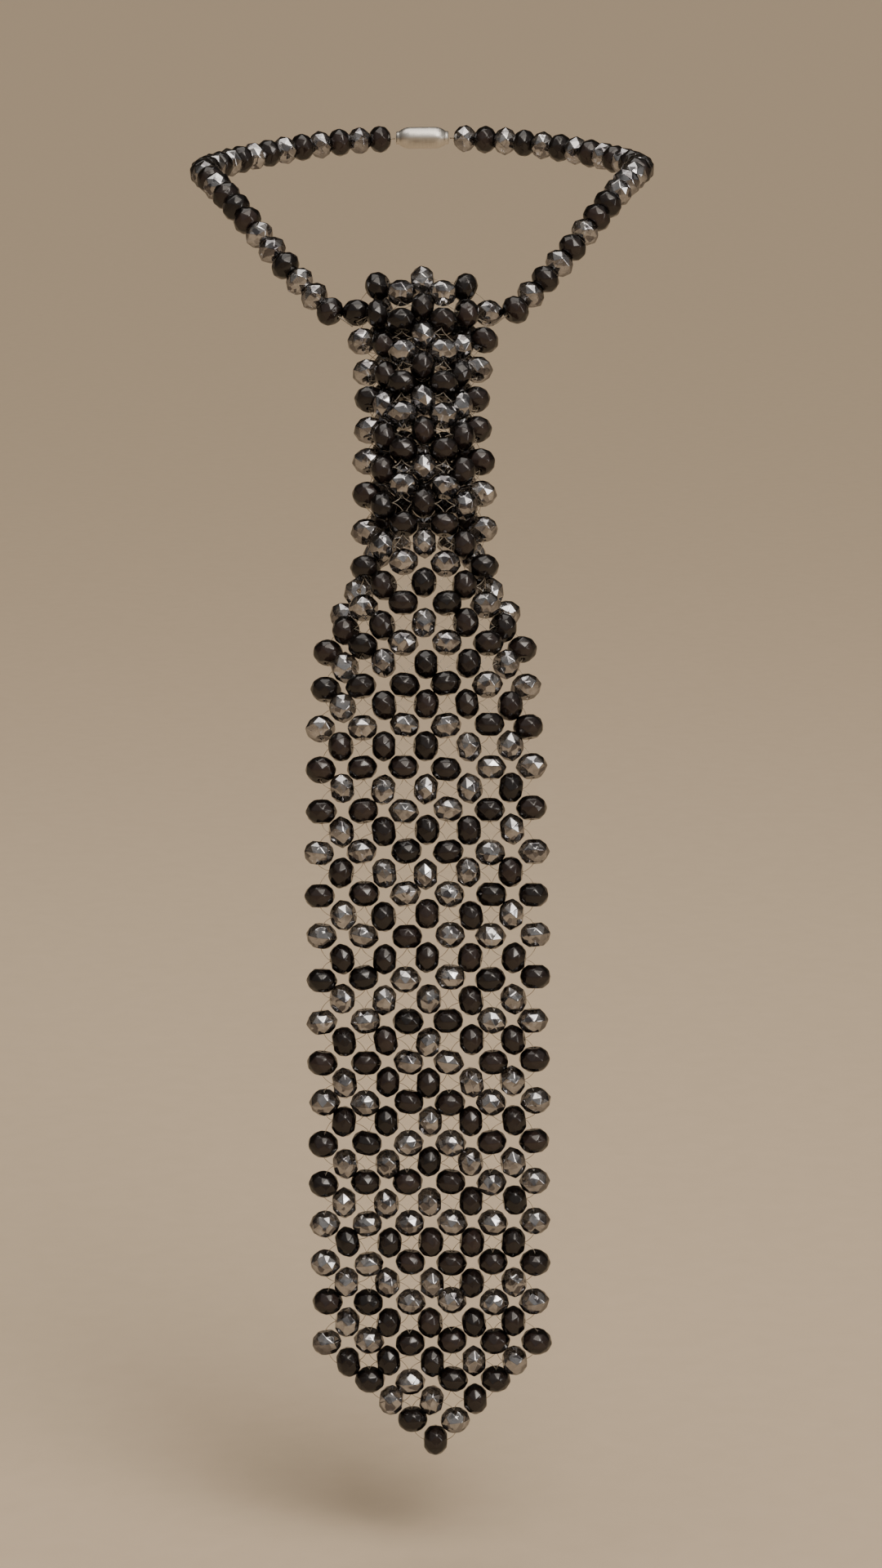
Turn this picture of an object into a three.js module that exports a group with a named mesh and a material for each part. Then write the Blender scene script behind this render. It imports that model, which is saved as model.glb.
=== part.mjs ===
// A necktie necklace woven from faceted rondelle beads.
//
// The tie is a right-angle weave: every open square cell has one bead on each of its sides. Six
// lengthwise threads of beads (the columns) cross thirty-one rows. The strip is five cells wide and
// ends in a point. At the top it is rolled into a closed, flattened tube of six cells, the knot, and a
// string of beads leaves each side of the tube and goes round the neck to a clasp at the nape.
//
// Sizes are in millimetres. +Z is up and the tie's front faces -Y. The origin is the middle of the neck
// loop, at the height where the loop rests on the sides of the neck.

import * as THREE from 'three';

// Beads and thread
const BEAD_WIDTH = 8.0;
const BEAD_LENGTH = 6.2;
const BEAD_RIM = 2.0;               // straight part of a bead's rim
const THREAD_WIDTH = 1.0;
const BEAD_SIDES = 6;
const THREAD_SIDES = 3;
const CROSSING_DEPTH = 1.4;         // how far a row's thread passes behind a column's
const EDGE_THREAD_GAP = 0.55;       // how far short of an edge column a flat row's thread stops

// Weave
const COLUMNS = 6;
const ROWS = 31;
const CELL_WIDTH = 11.4;            // from column to column
const KNOT_ROW_PITCH = 9.8;         // the rows are packed tighter at the top of the knot
const BLADE_ROW_PITCH = 11.35;
const EVEN_ROW = 7;                 // from this row on the pitch stays the same
const LAST_CLOSED_ROW = 7;          // the last row that goes right round the tube

// Knot: angles in degrees by which the cells beside the front one are turned back
const FOLD_TOP = 31;
const FOLD_PINCHED = 42;
const FOLD_LOOSE = 22;
const PINCH = [0.5, 2.6, 8];        // levels where the pinch starts, is tightest and ends
const FLAT_LEVEL = 12;              // from here the middle three cells lie flat
const FLARE = 3.3;                  // how far the neck strings pull the top's two corners out
const FLARE_LEVELS = [0.6, 2.5];    // levels over which that pull dies away
const OPENING = [6.8, 10.4];        // levels over which the tube opens at the back
const EDGE_CURL = 38;               // degrees that the outer cells still curl back below it
const CURL_END = 14;
const SIDE_DROP = [2, 2, 0, 0, 2, 2];   // how much lower each column starts
const DROP_END = 8;                 // level where all columns run level again

// Hang of the tie: it slopes out over the chest along an arc, then hangs straight
const TOP_Y = -55;
const TOP_Z = -27.3;
const TOP_LEAN = THREE.MathUtils.degToRad(46);
const END_LEAN = THREE.MathUtils.degToRad(-1);
const CHEST_LENGTH = 240;
const TIP_SWAY = 2.2;               // how far the tip hangs to the wearer's left
const SWAY_START = 28;              // level where that begins

// Neck loop
const LOOP_HALF_WIDTH = 63.5;
const LOOP_HALF_DEPTH = 60;
const FRONT_DIP = 35.8;             // drop of the loop at JOIN_X
const BACK_RISE = 6;
const JOIN_X = 25.8;                // where the first bead of a neck string lies
const STRING_BEADS = 27;
const LOOP_POINTS = 15;             // points that guide each string round the neck
const END_THREAD = 1.5;             // bare thread between the last bead and the clasp

// Clasp: a plain barrel
const CLASP_LENGTH = 16;
const CLASP_WIDTH = 6.6;
const CLASP_END_WIDTH = 4;
const CLASP_STRAIGHT = 0.6;         // straight part of its length
const CLASP_SIDES = 12;
const CLASP_GAP = 0.4;              // between the clasp and the end of each string

const blackGlass = new THREE.MeshStandardMaterial({ color: '#16120f', roughness: 0.1, metalness: 0 });
const silverGlass = new THREE.MeshStandardMaterial({ color: '#c6c6c9', roughness: 0.08, metalness: 0.65 });
const silverMetal = new THREE.MeshStandardMaterial({ color: '#c3c0bb', roughness: 0.25, metalness: 1 });

const { clamp, lerp, degToRad, smoothstep } = THREE.MathUtils;
const closedAt = (level) => level <= LAST_CLOSED_ROW + 0.5;

// ---- the tie's surface ----

// Distance down the tie from its top edge, at a level counted in rows (whole numbers are rows).
function distanceDown(level) {
  let distance = 0;
  for (let row = 0; row < level; row++) {
    const pitch = lerp(KNOT_ROW_PITCH, BLADE_ROW_PITCH, Math.min(1, row / EVEN_ROW));
    distance += pitch * Math.min(1, level - row);
  }
  return distance;
}

// The front of the tie at a distance down from its top: an arc over the chest, then a straight line.
function hang(distance) {
  const bend = (TOP_LEAN - END_LEAN) / CHEST_LENGTH;
  const onArc = Math.min(distance, CHEST_LENGTH);
  const lean = TOP_LEAN - bend * onArc;
  const below = distance - onArc;
  const y = TOP_Y - (Math.cos(lean) - Math.cos(TOP_LEAN)) / bend - below * Math.sin(lean);
  const z = TOP_Z - (Math.sin(TOP_LEAN) - Math.sin(lean)) / bend - below * Math.cos(lean);
  const front = new THREE.Vector3(0, -Math.cos(lean), Math.sin(lean));
  return { point: new THREE.Vector3(0, y, z), front };
}

// Across the tie at one level: how far each column lies to the side and behind the front.
function section(level) {
  const [pinchStart, pinchTight, pinchEnd] = PINCH;
  const tightened = lerp(FOLD_TOP, FOLD_PINCHED, smoothstep(level, pinchStart, pinchTight));
  const slack = clamp((level - pinchTight) / (pinchEnd - pinchTight), 0, 1);
  const flat = smoothstep(level, pinchEnd, FLAT_LEVEL);
  const fold = degToRad(lerp(lerp(tightened, FOLD_LOOSE, slack), 0, flat));
  const curl = degToRad(EDGE_CURL * clamp((CURL_END - level) / (CURL_END - OPENING[1]), 0, 1));
  const turn = lerp(Math.PI - fold, curl, smoothstep(level, ...OPENING));
  const flare = FLARE * (1 - smoothstep(level, ...FLARE_LEVELS));
  const inner = { side: CELL_WIDTH / 2, back: 0 };
  const middle = {
    side: inner.side + CELL_WIDTH * Math.cos(fold),
    back: CELL_WIDTH * Math.sin(fold),
  };
  const outer = {
    side: middle.side + CELL_WIDTH * Math.cos(turn),
    back: middle.back + CELL_WIDTH * Math.sin(turn),
  };
  middle.side += flare;
  const left = [outer, middle, inner].map(({ side, back }) => new THREE.Vector2(-side, back));
  const right = [inner, middle, outer].map(({ side, back }) => new THREE.Vector2(side, back));
  return [...left, ...right];
}

// Distance down the tie to a level of one column.
function columnDistance(column, level) {
  return distanceDown(level) + SIDE_DROP[column] * clamp(1 - level / DROP_END, 0, 1);
}

// The crossing of a column and a row.
function crossing(column, level) {
  const { point, front } = hang(columnDistance(column, level));
  const place = section(level)[column];
  const sway = TIP_SWAY * clamp((level - SWAY_START) / (ROWS - SWAY_START), 0, 1) ** 2;
  return point.addScaledVector(front, -place.y).add(new THREE.Vector3(place.x + sway, 0, 0));
}

// Outward direction of the cell between a column and the next one.
function cellOutward(column, level) {
  const places = section(level);
  const next = (column + 1) % COLUMNS;
  const edge = places[next].clone().sub(places[column]).normalize();
  const { front } = hang(columnDistance(column, level));
  return new THREE.Vector3(edge.y, 0, 0).addScaledVector(front, edge.x);
}

// Outward direction at a column: halfway between those of the cells beside it.
function columnOutward(column, level) {
  const cells = [column - 1, column].filter((cell) => cell >= 0 && cell < COLUMNS - 1);
  if (closedAt(level) && cells.length === 1) cells.push(COLUMNS - 1);
  const outward = new THREE.Vector3();
  for (const cell of cells) outward.add(cellOutward(cell, level));
  return outward.normalize();
}

// ---- threads of beads ----

// A ring of points round a centre, seen along the thread. One point faces outward.
function ring(centre, along, outward, width, sides) {
  const facing = outward.clone().addScaledVector(along, -outward.dot(along)).normalize();
  const across = new THREE.Vector3().crossVectors(facing, along);
  return Array.from({ length: sides }, (_, k) => {
    const angle = Math.PI / BEAD_SIDES + (2 * Math.PI * k) / sides;
    return centre.clone()
      .addScaledVector(across, Math.cos(angle) * width / 2)
      .addScaledVector(facing, Math.sin(angle) * width / 2);
  });
}

const threadRing = (centre, along, outward) => ring(centre, along, outward, THREAD_WIDTH, THREAD_SIDES);

// A bead's rings: thread, both edges of the rim, thread.
function beadRings(centre, along, outward) {
  const at = (distance) => centre.clone().addScaledVector(along, distance);
  return [
    threadRing(at(-BEAD_LENGTH / 2), along, outward),
    ring(at(-BEAD_RIM / 2), along, outward, BEAD_WIDTH, BEAD_SIDES),
    ring(at(BEAD_RIM / 2), along, outward, BEAD_WIDTH, BEAD_SIDES),
    threadRing(at(BEAD_LENGTH / 2), along, outward),
  ];
}

function beadBetween(start, end, outward) {
  const along = end.clone().sub(start).normalize();
  return beadRings(start.clone().lerp(end, 0.5), along, outward);
}

// A closed skin over a list of rings. A ring may have twice the points of its neighbour.
function skin(rings, isLoop = false) {
  const points = rings.flat();
  const firstOf = rings.map((_, i) => rings.slice(0, i).flat().length);
  const triangles = [];
  const add = (a, b, c) => {
    if (a !== b && b !== c && c !== a) triangles.push(a, b, c);
  };
  const bands = isLoop ? rings.length : rings.length - 1;
  for (let i = 0; i < bands; i++) {
    const next = (i + 1) % rings.length;
    const steps = Math.max(rings[i].length, rings[next].length);
    const near = (k) => firstOf[i] + Math.floor((k * rings[i].length) / steps) % rings[i].length;
    const far = (k) => firstOf[next] + Math.floor((k * rings[next].length) / steps) % rings[next].length;
    for (let k = 0; k < steps; k++) {
      add(near(k), near(k + 1), far(k + 1));
      add(near(k), far(k + 1), far(k));
    }
  }
  if (!isLoop) {
    const last = firstOf[rings.length - 1];
    add(0, 2, 1);
    add(last, last + 1, last + 2);
  }
  const geometry = new THREE.BufferGeometry().setFromPoints(points);
  geometry.setIndex(triangles);
  geometry.computeVertexNormals();
  return geometry;
}

function piece(name, geometry, material) {
  const mesh = new THREE.Mesh(geometry, material);
  mesh.name = name;
  return mesh;
}

// ---- the tie ----

const lastRowOf = (column) => ROWS - 1 - Math.round(Math.abs(column - (COLUMNS - 1) / 2) - 0.5);

function columnPiece(column) {
  const last = lastRowOf(column);
  const at = (level) => crossing(column, clamp(level, 0, last));
  const rings = [];
  for (let row = 0; row <= last; row++) {
    const along = at(row + 1).sub(at(row - 1)).normalize();
    rings.push(threadRing(at(row), along, columnOutward(column, row)));
    if (row < last) rings.push(...beadBetween(at(row), at(row + 1), columnOutward(column, row + 0.5)));
  }
  return piece(`weave_column_${column + 1}`, skin(rings), blackGlass);
}

// The row's thread passes behind each column's thread.
function behindColumn(column, row, along, shift = 0) {
  const outward = columnOutward(column, row);
  const point = crossing(column, row)
    .addScaledVector(outward, -CROSSING_DEPTH)
    .addScaledVector(along, shift);
  return threadRing(point, along, outward);
}

function rowPiece(row) {
  const isLoop = row <= LAST_CLOSED_ROW;
  const first = Math.max(0, row - (ROWS - COLUMNS / 2));
  const last = COLUMNS - 1 - first;
  const alongCell = (cell) => crossing((cell + 1) % COLUMNS, row).sub(crossing(cell, row)).normalize();
  const rings = [];
  if (!isLoop) rings.push(behindColumn(first, row, alongCell(first), EDGE_THREAD_GAP));
  for (let cell = first; cell < (isLoop ? COLUMNS : last); cell++) {
    if (isLoop || cell > first) {
      const along = alongCell((cell + COLUMNS - 1) % COLUMNS).add(alongCell(cell)).normalize();
      rings.push(behindColumn(cell, row, along));
    }
    const next = (cell + 1) % COLUMNS;
    rings.push(...beadBetween(crossing(cell, row), crossing(next, row), cellOutward(cell, row)));
  }
  if (!isLoop) rings.push(behindColumn(last, row, alongCell(last - 1), -EDGE_THREAD_GAP));
  const number = String(row + 1).padStart(2, '0');
  return piece(`weave_row_${number}`, skin(rings, isLoop), silverGlass);
}

// ---- the neck strings and the clasp ----

// A point of the neck loop, at an angle from its side: positive towards the front.
function loopPoint(angle, side) {
  const x = LOOP_HALF_WIDTH * Math.cos(angle);
  const y = -LOOP_HALF_DEPTH * Math.sin(angle);
  const joinY = -LOOP_HALF_DEPTH * Math.sqrt(1 - (JOIN_X / LOOP_HALF_WIDTH) ** 2);
  const z = y < 0 ? -FRONT_DIP * (y / joinY) ** 3 : BACK_RISE * (y / LOOP_HALF_DEPTH) ** 2;
  return new THREE.Vector3(side * x, y, z);
}

// From a crossing at the side of the tube, round the neck, to just short of the clasp.
function stringRoute(side) {
  const joinAngle = Math.acos(JOIN_X / LOOP_HALF_WIDTH);
  const claspAngle = -Math.acos((CLASP_LENGTH / 2 + CLASP_GAP) / LOOP_HALF_WIDTH);
  const column = side < 0 ? 1 : COLUMNS - 2;
  const start = crossing(column, 1).addScaledVector(columnOutward(column, 1), CROSSING_DEPTH);
  const around = Array.from({ length: LOOP_POINTS }, (_, i) =>
    loopPoint(lerp(joinAngle, claspAngle, i / (LOOP_POINTS - 1)), side));
  return new THREE.CatmullRomCurve3([start, ...around], false, 'centripetal');
}

// The first bead lies where the string leaves the tube, and the last just before the clasp.
function stringPiece(name, side) {
  const route = stringRoute(side);
  const length = route.getLength();
  const up = new THREE.Vector3(0, 0, 1);
  const at = (distance) => {
    const share = distance / length;
    return [route.getPointAt(share), route.getTangentAt(share), up];
  };
  const first = route.points[0].distanceTo(route.points[1]);
  const last = length - END_THREAD - BEAD_LENGTH / 2;
  const rings = [threadRing(...at(0))];
  for (let i = 0; i < STRING_BEADS; i++) {
    rings.push(...beadRings(...at(lerp(first, last, i / (STRING_BEADS - 1)))));
  }
  rings.push(threadRing(...at(length)));
  return piece(name, skin(rings), blackGlass);
}

function claspPiece() {
  const half = CLASP_LENGTH / 2;
  const profile = [
    [0, -half], [CLASP_END_WIDTH / 2, -half], [CLASP_WIDTH / 2, -half * CLASP_STRAIGHT],
    [CLASP_WIDTH / 2, half * CLASP_STRAIGHT], [CLASP_END_WIDTH / 2, half], [0, half],
  ].map(([radius, along]) => new THREE.Vector2(radius, along));
  const clasp = piece('clasp', new THREE.LatheGeometry(profile, CLASP_SIDES), silverMetal);
  clasp.rotation.z = Math.PI / 2;
  clasp.position.copy(loopPoint(-Math.PI / 2, 1));
  return clasp;
}

const necklace = new THREE.Group();
for (let column = 0; column < COLUMNS; column++) necklace.add(columnPiece(column));
for (let row = 0; row < ROWS; row++) necklace.add(rowPiece(row));
necklace.add(stringPiece('neck_string_right', -1));
necklace.add(stringPiece('neck_string_left', 1));
necklace.add(claspPiece());

export default necklace;
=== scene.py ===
"""A necktie necklace woven from faceted rondelle beads of black glass and clear silvery crystal.

The tie is a right-angle weave: every open square cell has one bead on each of its sides. Upright beads
have their holes running down the tie, level beads have theirs running across it, and the thread turns
from one to the next at each crossing. The top is rolled into a tube, the knot, and a string of beads
leaves each side of it and goes round the neck to a barrel clasp.

Sizes are worked in millimetres and turned to metres where a mesh is made. +Z is up, the tie's front
faces -Y, and +X is the wearer's left. Rows and levels are counted from the top of the tie down, from 0,
and columns from the wearer's right.
"""

import math
import random
from itertools import combinations

import bmesh
import bpy
from mathutils import Matrix, Vector
from mathutils.geometry import interpolate_bezier


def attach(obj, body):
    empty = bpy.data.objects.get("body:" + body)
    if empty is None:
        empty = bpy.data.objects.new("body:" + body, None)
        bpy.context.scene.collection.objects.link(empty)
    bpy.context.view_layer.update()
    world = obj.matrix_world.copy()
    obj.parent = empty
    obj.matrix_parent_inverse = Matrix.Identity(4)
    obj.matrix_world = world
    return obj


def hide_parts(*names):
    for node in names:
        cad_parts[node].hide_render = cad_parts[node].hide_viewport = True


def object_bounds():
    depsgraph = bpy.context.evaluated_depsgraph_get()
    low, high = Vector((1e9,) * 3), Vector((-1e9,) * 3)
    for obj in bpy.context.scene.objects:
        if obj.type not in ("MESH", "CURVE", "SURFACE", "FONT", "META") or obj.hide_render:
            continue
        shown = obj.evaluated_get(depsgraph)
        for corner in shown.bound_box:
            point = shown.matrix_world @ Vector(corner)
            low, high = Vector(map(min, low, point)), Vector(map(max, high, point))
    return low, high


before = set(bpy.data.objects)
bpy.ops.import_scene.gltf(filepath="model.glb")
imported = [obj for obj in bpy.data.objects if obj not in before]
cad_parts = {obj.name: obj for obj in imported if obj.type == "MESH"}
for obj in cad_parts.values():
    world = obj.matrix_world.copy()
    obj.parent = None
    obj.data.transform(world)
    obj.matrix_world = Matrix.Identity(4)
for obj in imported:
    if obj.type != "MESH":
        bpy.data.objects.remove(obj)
cad_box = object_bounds()

MM = 0.001
chance = random.Random(31)  # the same small accidents every time

# ---- sizes, in millimetres unless a comment says otherwise ----

# Bead
BEAD_WIDTH = 8.75  # across the corners of its waist, before they are rounded off
BEAD_LENGTH = 6.25
END_WIDTH = 4.3  # across the corners of its flat end
SHOULDER_HEIGHT = 1.85  # from the waist up to where its waist facets end
BLACK_SWELL = 1.12  # how far its shoulders stand out past flat kites, as a share
CRYSTAL_SWELL = 1.08
HOLE_WIDTH = 1.1
FACETS = 8  # corners round its waist
BLACK_ROUNDING = 0.28  # fire polishing melts the black beads' edges round
CRYSTAL_ROUNDING = 0.16
EDGE_STEPS = 2  # strips of faces in a rounded edge
FLAT_ANGLE = 0.01  # faces that meet flatter than this, in radians, are one facet
SHARP_ANGLE = 0.05  # edges sharper than this, in radians, are rounded
HOLE_SPAN = 0.9  # an edge that rises more than this share of the length is inside the hole

# How a bead sits on its thread
WEAVE_TILT = 0.2  # how far it leans off its thread, as a slope
STRING_TILT = 0.03
KNOT_SLIP = 0.35  # how far it lies from its place, to each side
BLADE_SLIP = 0.4
SIZE_SPREAD = 0.012  # as a share of its size
WAIST_REACH = 4.12  # how far from its middle a neighbour can rest on its waist
END_REACH = 3.13  # and on its end
NEAR = 9.5  # only beads with their middles nearer than this can touch
SETTLE_ROUNDS = 24

# Weave
COLUMNS = 6
ROWS = 31
CELL_WIDTH = 11.4
KNOT_ROW_PITCH = 9.8
BLADE_ROW_PITCH = 11.35
EVEN_ROW = 7  # from here down every row has the blade's pitch
LAST_CLOSED_ROW = 7  # rows down to this one go right round the tube
LAST_KNOT_ROW = 8

# Knot: its sides fold back from its two middle columns. Folds are in degrees, and levels in rows.
FOLD_TOP = 31
FOLD_PINCHED = 42
FOLD_LOOSE = 22
PINCH = (0.5, 2.6, 8)  # where it starts to tighten, is tightest, and has come loose
FLAT_LEVEL = 12  # where the folds have gone
FLARE = 3.3  # how far the columns beside the middle two stand out at its top edge
FLARE_LEVELS = (0.6, 2.5)  # where they start to come in, and are in line
OPENING = (6.8, 10.4)  # where the tube starts to open, and has opened out
EDGE_CURL = 38  # how far back the outer cells still turn where it has opened out
CURL_END = 14  # where they lie flat
SIDE_DROP = (4, 2, 0, 0, 2, 4)  # how much lower each column starts
DROP_END = 8  # where the drop has gone

# Hang of the tie
TOP_Y = -55  # the middle of its top edge
TOP_Z = -27.3
TOP_LEAN = math.radians(46)  # from upright
END_LEAN = math.radians(-1)
CHEST_LENGTH = 240  # how much of the tie lies on the chest's curve
TIP_SWAY = 2.2  # how far the tip hangs to one side
SWAY_START = 28

# Neck loop
LOOP_HALF_WIDTH = 63.5
LOOP_HALF_DEPTH = 60
FRONT_DIP = 35.8  # from its sides down to where it meets the knot
BACK_RISE = 6  # from its sides up to the nape
JOIN_X = 25.8  # from the middle out to where it meets the knot
STRING_BEADS = 27
ROUTE_STEPS = 120
END_THREAD = 1.5  # bare thread before the clasp

# Thread and clasp
THREAD_WIDTH = 0.2
THREAD_SIDES = 6
THREAD_STEPS = 6  # straight bits in a turn
TURN_TUCK = 0.5  # how far inside a hole a turn of thread starts
TURN_REACH = 0.7  # how far a turn swings out past a hole
REACH_PLAY = (-0.2, 0.25)
LIFT_PLAY = (-0.25, 0.3)  # how far a turn is pressed in or stands proud
STRING_THREAD_WIDTH = 0.5
CROSSING_DEPTH = 1.4  # how far outside its crossing a string starts
CLASP_LENGTH = 16
CLASP_GAP = 0.4
CLASP_SIDES = 48

# ---- bead charts: B is black, S is silver, a point is no bead ----

# Upright beads, a word a row from the top down, each from the wearer's right to the wearer's left.
UPRIGHT_CHART = """
BBSSSB SSBBBS BSSSSB SBBBBS BSSSBB SSBBBS BBSSSB SSBBSS BBSSBB SSBBSS
BBSSBB BBBBSS SSSSBB BBBBSS BBSSBB SSBBSS BBSSBB SSBSSS BBSSBB SSBBSS
BBSSBB SSBBSS BBSSBB BBBBSS SSSSSS SSBBBB BBSSSS SSBBBB .BSBB. ..BS..
""".split()

# Level beads, in the same order. The rows of six go right round the knot, and their sixth is at its back.
LEVEL_CHART = """
SBSBSB BBBBBS SBSSSB BBBBBS SSSSSB BBBBBS SBSBSB BBBSBS SSSBS SBBBS BBSBB
SSBBS SBBBB BBBSS SSSSB SBBBS BSSSB SBBBS BBBBB SSSBS BBSBB SBBSS BBSBB
SSBSS SSSBB BBBBB SSSBS SBBBB BBBSS .SSB. ..B..
""".split()

# Neck strings, from the knot to the clasp.
RIGHT_STRING_CHART = "BSSBSSBBBSBSBSBSBSBSBSBSBSB"
LEFT_STRING_CHART = "BSBSBSBBSSSBSBSBSBSBSBSBSBS"

# ---- small tools ----


def lerp(start, end, share):
    return start + (end - start) * share


def clamp(value, low=0.0, high=1.0):
    return max(low, min(high, value))


def smoothstep(value, low, high):
    share = clamp((value - low) / (high - low))
    return share * share * (3 - 2 * share)


def make_piece(name, points, faces, material):
    """One smooth mesh object from points in millimetres."""
    mesh = bpy.data.meshes.new(name)
    mesh.from_pydata([point * MM for point in points], [], faces)
    mesh.polygons.foreach_set("use_smooth", [True] * len(faces))
    mesh.materials.append(material)
    made = bpy.data.objects.new(name, mesh)
    bpy.context.scene.collection.objects.link(made)
    return made


# ---- the tie's surface ----


def distance_down(level):
    """Distance down the tie from its top edge, at a level counted in rows."""
    distance = 0
    for row in range(math.ceil(level)):
        pitch = lerp(KNOT_ROW_PITCH, BLADE_ROW_PITCH, min(1, row / EVEN_ROW))
        distance += pitch * min(1, level - row)
    return distance


def hang(distance):
    """A point down the front of the tie and the way it faces: an arc over the chest, then straight."""
    bend = (TOP_LEAN - END_LEAN) / CHEST_LENGTH
    on_arc = min(distance, CHEST_LENGTH)
    lean = TOP_LEAN - bend * on_arc
    below = distance - on_arc
    y = TOP_Y - (math.cos(lean) - math.cos(TOP_LEAN)) / bend - below * math.sin(lean)
    z = TOP_Z - (math.sin(TOP_LEAN) - math.sin(lean)) / bend - below * math.cos(lean)
    return Vector((0, y, z)), Vector((0, -math.cos(lean), math.sin(lean)))


def section(level):
    """Across the tie at one level: each column's distance to the side and behind the front."""
    start, tight, end = PINCH
    tightened = lerp(FOLD_TOP, FOLD_PINCHED, smoothstep(level, start, tight))
    slack = clamp((level - tight) / (end - tight))
    flat = smoothstep(level, end, FLAT_LEVEL)
    fold = math.radians(lerp(lerp(tightened, FOLD_LOOSE, slack), 0, flat))
    curl = math.radians(EDGE_CURL * clamp((CURL_END - level) / (CURL_END - OPENING[1])))
    turn = lerp(math.pi - fold, curl, smoothstep(level, *OPENING))
    flare = FLARE * (1 - smoothstep(level, *FLARE_LEVELS))
    inner = Vector((CELL_WIDTH / 2, 0))
    middle = inner + CELL_WIDTH * Vector((math.cos(fold), math.sin(fold)))
    outer = middle + CELL_WIDTH * Vector((math.cos(turn), math.sin(turn)))
    middle.x += flare
    right_side = [Vector((-place.x, place.y)) for place in (outer, middle, inner)]
    return right_side + [inner, middle, outer]


def column_distance(column, level):
    """Distance down the tie along a column, which hangs lower at the sides of the knot."""
    return distance_down(level) + SIDE_DROP[column] * clamp(1 - level / DROP_END)


def crossing(column, level):
    """Where a column's thread and a row's thread meet."""
    point, front = hang(column_distance(column, level))
    place = section(level)[column]
    sway = TIP_SWAY * clamp((level - SWAY_START) / (ROWS - SWAY_START)) ** 2
    return point - front * place.y + Vector((place.x + sway, 0, 0))


def cell_outward(column, level):
    """Outward direction of the cell between a column and the next one."""
    places = section(level)
    edge = (places[(column + 1) % COLUMNS] - places[column]).normalized()
    front = hang(column_distance(column, level))[1]
    return Vector((edge.y, 0, 0)) + front * edge.x


def column_outward(column, level):
    """Outward direction at a column: halfway between those of the cells beside it."""
    cells = [cell for cell in (column - 1, column) if 0 <= cell < COLUMNS - 1]
    if level <= LAST_CLOSED_ROW and len(cells) == 1:
        cells.append(COLUMNS - 1)
    return sum((cell_outward(cell, level) for cell in cells), Vector()).normalized()


# ---- the neck loop ----


def loop_point(angle, side):
    """A point of the neck loop, at an angle from its side: positive towards the front."""
    x = LOOP_HALF_WIDTH * math.cos(angle)
    y = -LOOP_HALF_DEPTH * math.sin(angle)
    join_y = -LOOP_HALF_DEPTH * math.sqrt(1 - (JOIN_X / LOOP_HALF_WIDTH) ** 2)
    z = -FRONT_DIP * (y / join_y) ** 3 if y < 0 else BACK_RISE * (y / LOOP_HALF_DEPTH) ** 2
    return Vector((side * x, y, z))


def neck_route(side):
    """From a crossing at the side of the knot, round the neck, to just short of the clasp."""
    join_angle = math.acos(JOIN_X / LOOP_HALF_WIDTH)
    clasp_angle = -math.acos((CLASP_LENGTH / 2 + CLASP_GAP) / LOOP_HALF_WIDTH)
    column = 1 if side < 0 else COLUMNS - 2
    start = crossing(column, 1) + column_outward(column, 1) * CROSSING_DEPTH
    steps = range(ROUTE_STEPS + 1)
    turns = [lerp(join_angle, clasp_angle, i / ROUTE_STEPS) for i in steps]
    return [start] + [loop_point(turn, side) for turn in turns]


def along_route(route, distance):
    """The point at a distance along a route, and the direction there."""
    for start, end in zip(route, route[1:]):
        step = (end - start).length
        if distance <= step or end is route[-1]:
            return start.lerp(end, distance / step), (end - start).normalized()
        distance -= step


# ---- one cut bead ----


def cut_rondelle(swell, rounding):
    """A drilled rondelle along Z: flat ends, and in each half a kite from every corner of its waist to
    the end, with a triangle above and below between each two kites.

    Returns its points, its faces, and a 1 for each face that is a rounded edge or a 0 for a facet.
    """
    bm = bmesh.new()
    step = math.tau / FACETS
    end_height = BEAD_LENGTH / 2
    kite_width = lerp(BEAD_WIDTH, END_WIDTH, SHOULDER_HEIGHT / end_height)
    shoulder_width = swell * kite_width / math.cos(step / 2)

    def ring(width, height, turned=0.0):
        angles = [(k + turned) * step for k in range(FACETS)]
        return [
            bm.verts.new((math.cos(a) * width / 2, math.sin(a) * width / 2, height)) for a in angles
        ]

    waist = ring(BEAD_WIDTH, 0)
    holes = []
    for half in (1, -1):
        shoulder = ring(shoulder_width, half * SHOULDER_HEIGHT, turned=0.5)
        end = ring(END_WIDTH, half * end_height)
        hole = ring(HOLE_WIDTH, half * end_height)
        holes.append(hole)
        for k in range(FACETS):
            after = (k + 1) % FACETS
            bm.faces.new((waist[k], waist[after], shoulder[k]))
            bm.faces.new((waist[k], shoulder[k], shoulder[k - 1]))
            bm.faces.new((shoulder[k - 1], shoulder[k], end[k]))
            bm.faces.new((end[k], shoulder[k], end[after]))
            bm.faces.new((end[k], end[after], hole[after], hole[k]))
    for k in range(FACETS):
        after = (k + 1) % FACETS
        bm.faces.new((holes[0][k], holes[0][after], holes[1][after], holes[1][k]))
    bmesh.ops.recalc_face_normals(bm, faces=bm.faces)
    bmesh.ops.dissolve_limit(bm, angle_limit=FLAT_ANGLE, verts=bm.verts, edges=bm.edges)

    inside_hole = {
        edge for edge in bm.edges
        if abs(edge.verts[0].co.z - edge.verts[1].co.z) > BEAD_LENGTH * HOLE_SPAN
    }
    cut_edges = [
        edge for edge in bm.edges
        if edge not in inside_hole and edge.calc_face_angle() > SHARP_ANGLE
    ]
    rounded = set(bmesh.ops.bevel(
        bm, geom=cut_edges, offset=rounding, offset_type="OFFSET",
        segments=EDGE_STEPS, profile=0.5, affect="EDGES", clamp_overlap=True,
    )["faces"])
    bm.verts.index_update()
    points = [vert.co.copy() for vert in bm.verts]
    faces = [[vert.index for vert in face.verts] for face in bm.faces]
    marks = [1 if face in rounded else 0 for face in bm.faces]
    bm.free()
    return points, faces, marks


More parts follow.
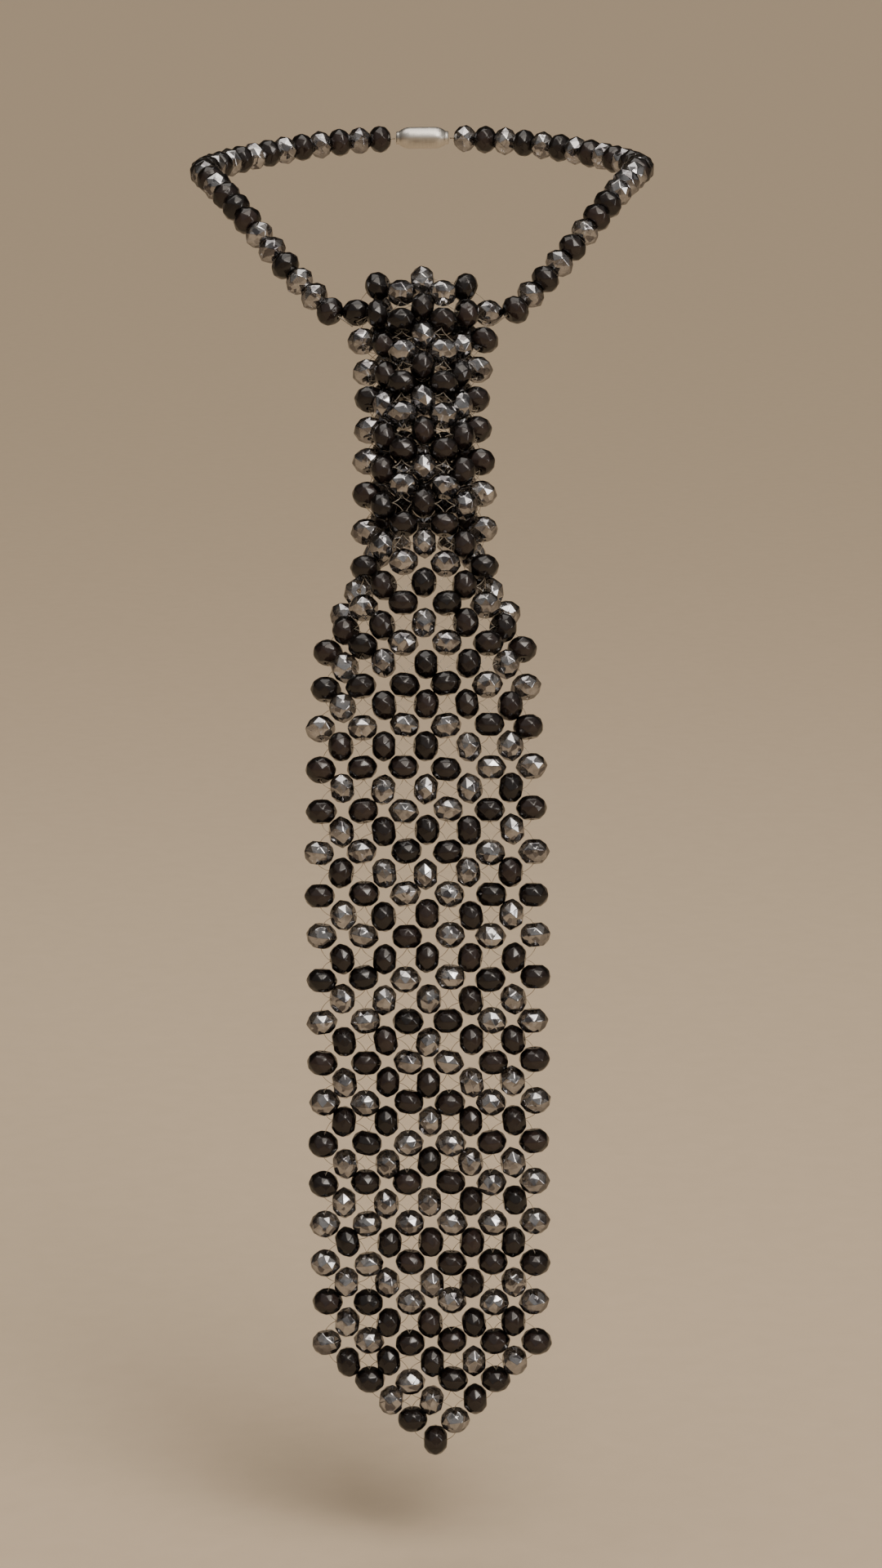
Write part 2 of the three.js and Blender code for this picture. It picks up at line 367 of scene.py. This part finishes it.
# ---- the beads in their places ----


class Bead:
    """One bead on its thread: its middle, the way its hole runs, and how it sits."""

    def __init__(self, start, end, colour, tilt, slip=0):
        self.middle = start.lerp(end, 0.5) + Vector([chance.uniform(-slip, slip) for _ in range(3)])
        lean = Vector([chance.uniform(-tilt, tilt) for _ in range(3)])
        self.along = ((end - start).normalized() + lean).normalized()
        self.colour = colour
        spin = Matrix.Rotation(chance.uniform(0, math.tau), 4, "Z")
        size = Matrix.Scale(1 + chance.uniform(-SIZE_SPREAD, SIZE_SPREAD), 4)
        turn = self.along.to_track_quat("Z", "X").to_matrix().to_4x4()
        self.placing = Matrix.Translation(self.middle) @ turn @ spin @ size

    def move(self, step):
        self.middle = self.middle + step
        self.placing = Matrix.Translation(step) @ self.placing

    def reach(self, way):
        """How far it stands out from its middle in a direction."""
        share = self.along.dot(way) ** 2
        return math.sqrt(lerp(WAIST_REACH ** 2, END_REACH ** 2, share))

    def mouth(self, way):
        """The end of its hole, and the direction out of it: way is 1 along the thread and -1 back."""
        return self.middle + self.along * way * BEAD_LENGTH / 2, self.along * way


def weave():
    """Every bead of the tie, by its kind, its column and its row."""
    beads = {}
    for kind, chart, across, down in (("upright", UPRIGHT_CHART, 0, 1), ("level", LEVEL_CHART, 1, 0)):
        for row, word in enumerate(chart):
            slip = KNOT_SLIP if row <= LAST_KNOT_ROW else BLADE_SLIP
            for column, colour in enumerate(word):
                if colour != ".":
                    start = crossing(column, row)
                    end = crossing((column + across) % COLUMNS, row + down)
                    beads[kind, column, row] = Bead(start, end, colour, WEAVE_TILT, slip)
    return beads


def string_beads(side, chart):
    """The beads of one neck string. The first lies where the string leaves the knot."""
    route = neck_route(side)
    length = sum((end - start).length for start, end in zip(route, route[1:]))
    first = (route[1] - route[0]).length
    last = length - END_THREAD - BEAD_LENGTH / 2
    beads = []
    for i, colour in enumerate(chart):
        point, direction = along_route(route, lerp(first, last, i / (STRING_BEADS - 1)))
        half = direction * BEAD_LENGTH / 2
        beads.append(Bead(point - half, point + half, colour, STRING_TILT))
    return beads


def settle(beads):
    """Eases apart the beads that would cut into each other, where the knot folds back on itself."""
    pairs = [
        (one, other) for one, other in combinations(beads, 2)
        if (other.middle - one.middle).length < NEAR
    ]
    for _ in range(SETTLE_ROUNDS):
        for one, other in pairs:
            apart = other.middle - one.middle
            way = apart.normalized()
            short = one.reach(way) + other.reach(way) - apart.length
            if short > 0:
                one.move(-way * short / 2)
                other.move(way * short / 2)


def bead_piece(name, beads, cut, material):
    """Many beads of one cut as one mesh, with flat facets and smooth rounded edges."""
    cut_points, cut_faces, cut_marks = cut
    points, faces = [], []
    for bead in beads:
        first = len(points)
        points += [bead.placing @ point for point in cut_points]
        faces += [[first + corner for corner in face] for face in cut_faces]
    made = make_piece(name, points, faces, material)
    marks = cut_marks * len(beads)
    made.data.polygons.foreach_set("use_smooth", [mark == 1 for mark in marks])
    edge = made.data.attributes.new("rounded_edge", "FLOAT", "FACE")
    edge.data.foreach_set("value", marks)
    return made


# ---- thread ----


def strand(route, width, points, faces):
    """Adds a round thread along a route to a list of points and a list of faces."""
    first = len(points)
    sides = range(THREAD_SIDES)
    across = (route[1] - route[0]).orthogonal().normalized()
    for i, centre in enumerate(route):
        along = (route[min(i + 1, len(route) - 1)] - route[max(i - 1, 0)]).normalized()
        across = (across - along * across.dot(along)).normalized()
        other = along.cross(across)
        for k in sides:
            angle = math.tau * k / THREAD_SIDES
            points.append(centre + (across * math.cos(angle) + other * math.sin(angle)) * width / 2)
    for i in range(len(route) - 1):
        ring = first + i * THREAD_SIDES
        for k in sides:
            after = (k + 1) % THREAD_SIDES
            faces.append((ring + k, ring + after, ring + THREAD_SIDES + after, ring + THREAD_SIDES + k))
    faces.append([first + k for k in reversed(sides)])
    faces.append([len(points) - THREAD_SIDES + k for k in sides])


def turn_between(one, other, outward):
    """The thread's turn from the mouth of one bead to the mouth of another."""
    (start, start_way), (end, end_way) = one, other
    reach = TURN_REACH + chance.uniform(*REACH_PLAY)
    lift = outward * chance.uniform(*LIFT_PLAY)
    return interpolate_bezier(
        start - start_way * TURN_TUCK,
        start + start_way * reach + lift,
        end + end_way * reach + lift,
        end - end_way * TURN_TUCK,
        THREAD_STEPS + 1,
    )


def weave_turns(beads, rows):
    """The turns of thread at every crossing of some rows, one in the corner of each cell."""
    turns = []
    for row in rows:
        for column in range(COLUMNS):
            before = (column - 1) % COLUMNS if row <= LAST_CLOSED_ROW else column - 1
            uprights = [(("upright", column, row - 1), 1), (("upright", column, row), -1)]
            levels = [(("level", before, row), 1), (("level", column, row), -1)]
            outward = column_outward(column, row)
            for upright, upright_way in uprights:
                for level, level_way in levels:
                    if upright in beads and level in beads:
                        mouths = beads[upright].mouth(upright_way), beads[level].mouth(level_way)
                        turns.append(turn_between(*mouths, outward))
    return turns


def through_holes(beads):
    """The straight runs of thread inside the clear beads, where they show."""
    return [[bead.mouth(-1)[0], bead.mouth(1)[0]] for bead in beads if bead.colour == "S"]


def thread_piece(name, routes, width, material):
    """Many runs of thread as one mesh."""
    points, faces = [], []
    for route in routes:
        strand(route, width, points, faces)
    return make_piece(name, points, faces, material)


# ---- materials ----

# A Mix node's sockets for colours. They are told by number, as their names come more than once.
SHARE, FIRST, SECOND = 0, 6, 7
MIXED = 2


def paint(code):
    """An sRGB hex colour as the linear colour that a shader takes."""
    parts = [int(code[i:i + 2], 16) / 255 for i in (1, 3, 5)]
    linear = [p / 12.92 if p <= 0.04045 else ((p + 0.055) / 1.055) ** 2.4 for p in parts]
    return (*linear, 1)


def per_mm(size):
    """The scale of a pattern whose marks are this many millimetres apart."""
    return 1 / (size * MM)


def add(tree, kind, inputs, **settings):
    """Adds a node. An input that is another node's socket becomes a link, and any other is a value."""
    made = tree.nodes.new("ShaderNode" + kind)
    for name, value in settings.items():
        setattr(made, name, value)
    for name, value in inputs.items():
        if isinstance(value, bpy.types.NodeSocket):
            tree.links.new(value, made.inputs[name])
        else:
            made.inputs[name].default_value = value
    return made


def new_material(name):
    """A material with an empty node tree."""
    material = bpy.data.materials.new(name)
    material.use_nodes = True
    material.node_tree.nodes.clear()
    return material, material.node_tree


def paint_dark_rim_shade(tree, face_colour, rim_shade_code, start, end):
    """A bead's colour where it faces the eye, painted darker over a range of slants away from the eye: a
    painted shade that gives the bead's rim a dark outline.
    """
    slant = add(tree, "LayerWeight", {"Blend": 0.5}).outputs["Facing"]
    slants = {"Value": slant, "From Min": start, "From Max": end}
    painted_rim_shade = add(tree, "MapRange", slants, interpolation_type="SMOOTHSTEP").outputs[0]
    colours = {SHARE: painted_rim_shade, FIRST: face_colour, SECOND: paint(rim_shade_code)}
    return add(tree, "Mix", colours, data_type="RGBA").outputs[MIXED]


def cut_black_glass():
    """Black crystal glass, machine cut and fire polished, and worn: near black, browner in some beads,
    with small reflections that bend a little on each facet. Its colour is painted near black towards each
    bead's rim, where the facets slant away from the eye, a painted shade for a dark outline, so a facet
    that faces the eye is the brownest. Wear takes some of its gloss."""
    material, tree = new_material("cut_black_glass")
    place = add(tree, "TexCoord", {}).outputs["Object"]
    bead = add(tree, "NewGeometry", {}).outputs["Random Per Island"]
    edge = add(tree, "Attribute", {}, attribute_name="rounded_edge").outputs["Fac"]
    face_colours = {SHARE: bead, FIRST: paint("#161211"), SECOND: paint("#2f2522")}
    face_colour = add(tree, "Mix", face_colours, data_type="RGBA").outputs[MIXED]
    # painted shade: the colour goes to near black #070505 at the rim as the facets slant away from the
    # eye
    colour = paint_dark_rim_shade(tree, face_colour, "#070505", 0.1, 0.5)
    smudge = add(tree, "TexNoise", {"Vector": place, "Scale": per_mm(1.1), "Detail": 4.0}).outputs[0]
    smudge_range = {"From Min": 0.35, "From Max": 0.7, "To Min": 0.05, "To Max": 0.16}
    facet_roughness = add(tree, "MapRange", {"Value": smudge, **smudge_range}).outputs[0]
    rougher_edge = {0: edge, 1: 0.08, 2: facet_roughness}
    roughness = add(tree, "Math", rougher_edge, operation="MULTIPLY_ADD").outputs[0]
    wave = add(tree, "TexNoise", {"Vector": place, "Scale": per_mm(2.4), "Detail": 1.0}).outputs[0]
    bump = add(tree, "Bump", {"Height": wave, "Distance": 0.05 * MM, "Strength": 1.0}).outputs[0]
    shader = add(tree, "BsdfPrincipled", {
        "Base Color": colour, "Roughness": roughness, "IOR": 1.53, "Specular IOR Level": 0.42,
        "Normal": bump,
    })
    add(tree, "OutputMaterial", {"Surface": shader.outputs[0]})
    return material


def silvery_crystal():
    """Clear lead-free crystal glass, machine cut and polished, with a thin silver-grey lustre fired on
    it: the eye sees the facets and the dark beads round it broken up inside, under a soft grey mirror.
    Dark grey patches about 1.8 mm across are painted into the tint, a painted reflection of dark things
    seen through its back facets. The tint is also painted darker where facets slant away from the eye, a
    painted shade that gives the rim a dark outline."""
    material, tree = new_material("silvery_crystal")
    place = add(tree, "TexCoord", {}).outputs["Object"]
    bead = add(tree, "NewGeometry", {}).outputs["Random Per Island"]
    face_tints = {SHARE: bead, FIRST: paint("#c6c5c6"), SECOND: paint("#adacae")}
    face_tint = add(tree, "Mix", face_tints, data_type="RGBA").outputs[MIXED]
    # painted reflection: dark grey #6a676a patches in cells about 1.8 mm across stand for dark things
    # seen through the back facets
    painted_refraction_cells = add(tree, "TexVoronoi", {"Vector": place, "Scale": per_mm(1.8)}).outputs["Color"]
    painted_refraction = add(tree, "SeparateColor", {"Color": painted_refraction_cells}).outputs[0]
    painted_refraction_range = {"From Min": 0.1, "From Max": 0.4}
    painted_refraction_share = add(tree, "MapRange", {"Value": painted_refraction, **painted_refraction_range}).outputs[0]
    painted_refraction_tints = {SHARE: painted_refraction_share, FIRST: paint("#6a676a"), SECOND: face_tint}
    tint_with_painted_refractions = add(tree, "Mix", painted_refraction_tints, data_type="RGBA").outputs[MIXED]
    # painted shade: the tint goes to dark grey #3a383a at the rim as the facets slant away from the eye
    tint = paint_dark_rim_shade(tree, tint_with_painted_refractions, "#3a383a", 0.32, 0.8)
    cloud = add(tree, "TexNoise", {"Vector": place, "Scale": per_mm(2.0), "Detail": 4.0}).outputs[0]
    lustre_range = {"From Min": 0.3, "From Max": 0.7, "To Min": 0.5, "To Max": 0.8}
    lustre = add(tree, "MapRange", {"Value": cloud, **lustre_range}).outputs[0]
    haze_range = {"From Min": 0.35, "From Max": 0.75, "To Min": 0.02, "To Max": 0.1}
    roughness = add(tree, "MapRange", {"Value": cloud, **haze_range}).outputs[0]
    wave = add(tree, "TexNoise", {"Vector": place, "Scale": per_mm(3.0), "Detail": 1.0}).outputs[0]
    bump = add(tree, "Bump", {"Height": wave, "Distance": 0.03 * MM, "Strength": 1.0}).outputs[0]
    shader = add(tree, "BsdfPrincipled", {
        "Base Color": tint, "Metallic": lustre, "Roughness": roughness, "IOR": 1.54,
        "Transmission Weight": 1.0, "Normal": bump,
    })
    add(tree, "OutputMaterial", {"Surface": shader.outputs[0]})
    return material


def nylon_thread():
    """Clear nylon beading line, drawn and slightly yellowed: a pale, glossy, half see-through thread."""
    material, tree = new_material("nylon_thread")
    place = add(tree, "TexCoord", {}).outputs["Object"]
    streak = add(tree, "TexNoise", {"Vector": place, "Scale": per_mm(1.5), "Detail": 2.0}).outputs[0]
    colours = {SHARE: streak, FIRST: paint("#c4b8a5"), SECOND: paint("#e6dccb")}
    colour = add(tree, "Mix", colours, data_type="RGBA").outputs[MIXED]
    shader = add(tree, "BsdfPrincipled", {
        "Base Color": colour, "Roughness": 0.22, "IOR": 1.53, "Transmission Weight": 0.7,
    })
    add(tree, "OutputMaterial", {"Surface": shader.outputs[0]})
    return material


def satin_clasp_metal():
    """Silver-plated brass, turned and satin brushed: soft rings of light round the barrel. The brush
    marks are drawn coarser than real ones, so that they show, and are drawn out round the barrel."""
    material, tree = new_material("satin_clasp_metal")
    place = add(tree, "TexCoord", {}).outputs["Object"]
    rings = add(tree, "Mapping", {"Vector": place, "Scale": (6.0, 0.3, 0.3)}).outputs[0]
    brush = add(tree, "TexNoise", {"Vector": rings, "Scale": per_mm(1.0), "Detail": 3.0}).outputs[0]
    colours = {SHARE: brush, FIRST: paint("#b5b1aa"), SECOND: paint("#d8d5cf")}
    colour = add(tree, "Mix", colours, data_type="RGBA").outputs[MIXED]
    satin_range = {"From Min": 0.3, "From Max": 0.7, "To Min": 0.3, "To Max": 0.42}
    roughness = add(tree, "MapRange", {"Value": brush, **satin_range}).outputs[0]
    bump = add(tree, "Bump", {"Height": brush, "Distance": 0.02 * MM, "Strength": 1.0}).outputs[0]
    shader = add(tree, "BsdfPrincipled", {
        "Base Color": colour, "Metallic": 1.0, "Roughness": roughness, "Normal": bump,
    })
    add(tree, "OutputMaterial", {"Surface": shader.outputs[0]})
    return material


def painted_floor():
    """Plain studio board, rolled with a pale sand paint: matt, with a faint roller mottle."""
    material, tree = new_material("painted_floor")
    place = add(tree, "TexCoord", {}).outputs["Object"]
    mottle = add(tree, "TexNoise", {"Vector": place, "Scale": per_mm(9.0), "Detail": 3.0}).outputs[0]
    colours = {SHARE: mottle, FIRST: paint("#ceb99d"), SECOND: paint("#d5c0a4")}
    colour = add(tree, "Mix", colours, data_type="RGBA").outputs[MIXED]
    shader = add(tree, "BsdfPrincipled", {"Base Color": colour, "Roughness": 0.75})
    add(tree, "OutputMaterial", {"Surface": shader.outputs[0]})
    return material


# ---- making the necklace ----

black_cut = cut_rondelle(BLACK_SWELL, BLACK_ROUNDING)
crystal_cut = cut_rondelle(CRYSTAL_SWELL, CRYSTAL_ROUNDING)
black_glass = cut_black_glass()
crystal_glass = silvery_crystal()
thread = nylon_thread()

COLUMN_NODES = [f"weave_column_{column + 1}" for column in range(COLUMNS)]
ROW_NODES = [f"weave_row_{row + 1:02d}" for row in range(ROWS)]
KNOT_NODES = COLUMN_NODES + ROW_NODES[:LAST_KNOT_ROW + 1]
BLADE_NODES = COLUMN_NODES + ROW_NODES[LAST_KNOT_ROW + 1:]
STRING_NODES = ["neck_string_right", "neck_string_left"]


def hand_over(piece, nodes):
    """Hangs a piece from the root, and hides the plain solids it stands for."""
    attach(piece, "root")
    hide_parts(*nodes)


tie = weave()
knot = [bead for (_, _, row), bead in tie.items() if row <= LAST_KNOT_ROW]
blade = [bead for (_, _, row), bead in tie.items() if row > LAST_KNOT_ROW]
strings = string_beads(-1, RIGHT_STRING_CHART) + string_beads(1, LEFT_STRING_CHART)
settle(list(tie.values()) + strings)

for part, beads, nodes in (
    ("knot", knot, KNOT_NODES),
    ("blade", blade, BLADE_NODES),
    ("neck_string", strings, STRING_NODES),
):
    black = [bead for bead in beads if bead.colour == "B"]
    silver = [bead for bead in beads if bead.colour == "S"]
    black_piece = bead_piece(f"{part}_black_beads", black, black_cut, black_glass)
    silver_piece = bead_piece(f"{part}_silver_beads", silver, crystal_cut, crystal_glass)
    hand_over(black_piece, nodes)
    hand_over(silver_piece, nodes)

knot_turns = weave_turns(tie, range(LAST_KNOT_ROW + 1))
blade_turns = weave_turns(tie, range(LAST_KNOT_ROW + 1, ROWS))
for part, routes, width, nodes in (
    ("knot", knot_turns + through_holes(knot), THREAD_WIDTH, KNOT_NODES),
    ("blade", blade_turns + through_holes(blade), THREAD_WIDTH, BLADE_NODES),
    ("neck_string", [neck_route(-1), neck_route(1)], STRING_THREAD_WIDTH, STRING_NODES),
):
    hand_over(thread_piece(f"{part}_thread", routes, width, thread), nodes)


def barrel_clasp():
    """A plain turned barrel along X, with a rounded collar and a drilled hole at each end."""
    # Half its outline, from the hole out over the collar: radius, and distance from the middle.
    half = [
        (0.45, 7.2), (0.45, 7.85), (0.6, 8.0), (1.75, 8.0), (2.0, 7.8), (2.0, 7.2),
        (2.15, 6.95), (2.6, 6.3), (3.0, 5.5), (3.22, 4.7), (3.3, 3.8), (3.3, 1.5),
    ]
    profile = half + [(radius, -along) for radius, along in reversed(half)]
    middle = loop_point(-math.pi / 2, 1)
    points, faces = [], []
    for i, (radius, along) in enumerate(profile):
        here, there = i * CLASP_SIDES, (i + 1) % len(profile) * CLASP_SIDES
        for k in range(CLASP_SIDES):
            angle = math.tau * k / CLASP_SIDES
            after = (k + 1) % CLASP_SIDES
            points.append(middle + Vector((along, radius * math.cos(angle), radius * math.sin(angle))))
            faces.append((here + k, here + after, there + after, there + k))
    return make_piece("clasp_barrel", points, faces, satin_clasp_metal())


hand_over(barrel_clasp(), ["clasp"])

# ---- floor, light and camera ----

FLOOR_DROP = 30  # from the tip of the tie down to the floor
FLOOR_REACH = 40000

floor_height = cad_box[0].z / MM - FLOOR_DROP
corners = [
    Vector((x * FLOOR_REACH, y * FLOOR_REACH, floor_height))
    for x, y in ((-1, -1), (1, -1), (1, 1), (-1, 1))
]
make_piece("floor", corners, [(0, 1, 2, 3)], painted_floor())

TIE_MIDDLE = Vector((0, -0.1, -0.15))  # in metres, as every place and size below is


def add_lamp(name, kind, power, tint, facing):
    """A lamp that shines in a direction."""
    lamp = bpy.data.lights.new(name, kind)
    lamp.energy = power
    lamp.color = paint(tint)[:3]
    made = bpy.data.objects.new(name, lamp)
    made.rotation_euler = facing.to_track_quat("-Z", "Y").to_euler()
    bpy.context.scene.collection.objects.link(made)
    return made


def softbox(name, place, size, power, tint):
    """A soft rectangular lamp that shines on the tie and can't be seen itself."""
    made = add_lamp(name, "AREA", power, tint, TIE_MIDDLE - Vector(place))
    made.location = place
    made.visible_camera = False
    made.data.shape = "RECTANGLE"
    made.data.size, made.data.size_y = size


softbox("key_lamp", place=(0.5, -1.0, 0.75), size=(0.45, 0.45), power=5.2, tint="#fff7ee")
softbox("side_lamp", place=(1.1, -0.9, 0.1), size=(0.25, 0.5), power=1.8, tint="#fffaf4")
softbox("top_lamp", place=(-0.15, 0.1, 1.0), size=(1.0, 0.7), power=5, tint="#fff8f0")
sky_lamp = add_lamp("sky_lamp", "SUN", power=1.36, tint="#fff6ea", facing=Vector((-0.25, 0.55, -1.0)))
sky_lamp.data.angle = math.radians(38)  # as soft as light from a wide window

BRIGHT_WAY = Vector((0.12, -0.6, 0.8))  # the room is brightest in front of the tie and above
WALL_TOP = (0.13, 0.24)  # how high the wall round the floor reaches, as a slope, and where it has faded
ROOM_GLOW = 0.56

world = bpy.data.worlds.new("studio")
world.use_nodes = True
world.node_tree.nodes.clear()
way = add(world.node_tree, "TexCoord", {}).outputs["Generated"]
nearness = add(
    world.node_tree, "VectorMath", {0: way, 1: BRIGHT_WAY.normalized()}, operation="DOT_PRODUCT"
).outputs["Value"]
rise = add(
    world.node_tree, "MapRange", {"Value": nearness, "From Min": 0.1, "From Max": 0.95},
    interpolation_type="SMOOTHSTEP",
).outputs[0]
sky_colours = {SHARE: rise, FIRST: paint("#5c544a"), SECOND: paint("#e3e0dc")}
sky = add(world.node_tree, "Mix", sky_colours, data_type="RGBA").outputs[MIXED]
height = add(world.node_tree, "SeparateXYZ", {"Vector": way}).outputs["Z"]
above_wall = add(
    world.node_tree, "MapRange", {"Value": height, "From Min": WALL_TOP[0], "From Max": WALL_TOP[1]},
    interpolation_type="SMOOTHSTEP",
).outputs[0]
room_colours = {SHARE: above_wall, FIRST: paint("#d5bca0"), SECOND: sky}
room = add(world.node_tree, "Mix", room_colours, data_type="RGBA").outputs[MIXED]
glow = add(world.node_tree, "Background", {"Color": room, "Strength": ROOM_GLOW})
add(world.node_tree, "OutputWorld", {"Surface": glow.outputs[0]})
bpy.context.scene.world = world

CAMERA_PLACE = (0.004, -1.255, 0.077)
CAMERA_PITCH = math.radians(-11.7)
CAMERA_ROLL = math.radians(-0.49)
CAMERA_LENS = 98  # the lens and the film are in millimetres
CAMERA_FILM = 36

camera = bpy.data.objects.new("camera", bpy.data.cameras.new("camera"))
camera.data.lens = CAMERA_LENS
camera.data.sensor_width = CAMERA_FILM
level_turn = Matrix.Rotation(math.pi / 2 + CAMERA_PITCH, 4, "X")
roll_turn = Matrix.Rotation(CAMERA_ROLL, 4, "Z")
camera.matrix_world = Matrix.Translation(CAMERA_PLACE) @ level_turn @ roll_turn
bpy.context.scene.collection.objects.link(camera)
bpy.context.scene.camera = camera
